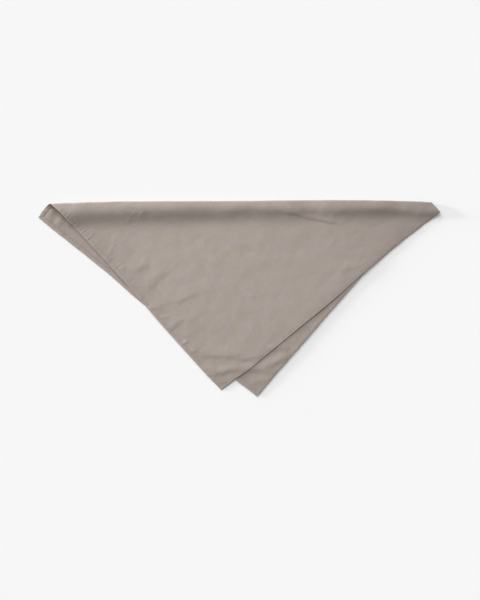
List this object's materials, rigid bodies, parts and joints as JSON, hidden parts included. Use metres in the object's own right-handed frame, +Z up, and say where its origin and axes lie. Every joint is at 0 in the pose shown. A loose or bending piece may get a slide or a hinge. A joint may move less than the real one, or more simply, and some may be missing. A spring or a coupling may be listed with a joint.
{
  "type": "cotton neckerchief",
  "caption": "Square plain-weave cotton neckerchief with narrow turned hems, folded once near its diagonal into a triangle with a soft rolled fold and laid flat.",
  "frame": {"origin": "middle of the folded neckerchief's box, on the surface that it lies on", "axes": "+X along the fold towards the right tip, +Y from the two points towards the fold, +Z up from the surface"},
  "size_m": [0.7858, 0.3856, 0.0116],
  "materials": {
    "cotton": "matt washed plain-weave cotton, grey-taupe",
    "hem": "double-turned hem of the same cotton, a little darker where it is pressed"
  },
  "bodies": {
    "root": {"cloth": "cotton", "hem_upper_left": "hem", "hem_upper_right": "hem", "hem_lower_right": "hem", "hem_lower_left": "hem"}
  },
  "joints": []
}
